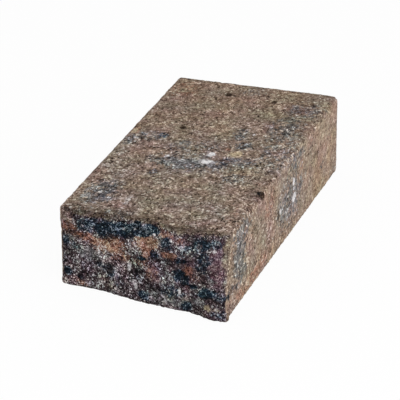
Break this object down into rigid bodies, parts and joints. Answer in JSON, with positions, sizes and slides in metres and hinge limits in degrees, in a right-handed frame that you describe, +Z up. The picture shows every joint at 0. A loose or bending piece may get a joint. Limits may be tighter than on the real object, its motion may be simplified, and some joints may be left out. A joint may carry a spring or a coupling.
{
  "type": "wall end block",
  "caption": "Solid concrete block for the end of a wall course, moulded square with a rough split end.",
  "frame": {"origin": "middle of the bed face of the mould's outline, 193.7 mm wide and 396.9 mm long, which leaves out what the split end stands proud", "axes": "+X right across the split end as it is looked at, +Y from the split end to the moulded end, +Z up from the bed to the top"},
  "size_m": [0.1938, 0.422, 0.0921],
  "materials": {
    "blended_concrete": "matt, sandy, buff concrete marbled with charcoal and terracotta"
  },
  "bodies": {
    "root": {"wall_end_block": "blended_concrete"}
  },
  "joints": []
}
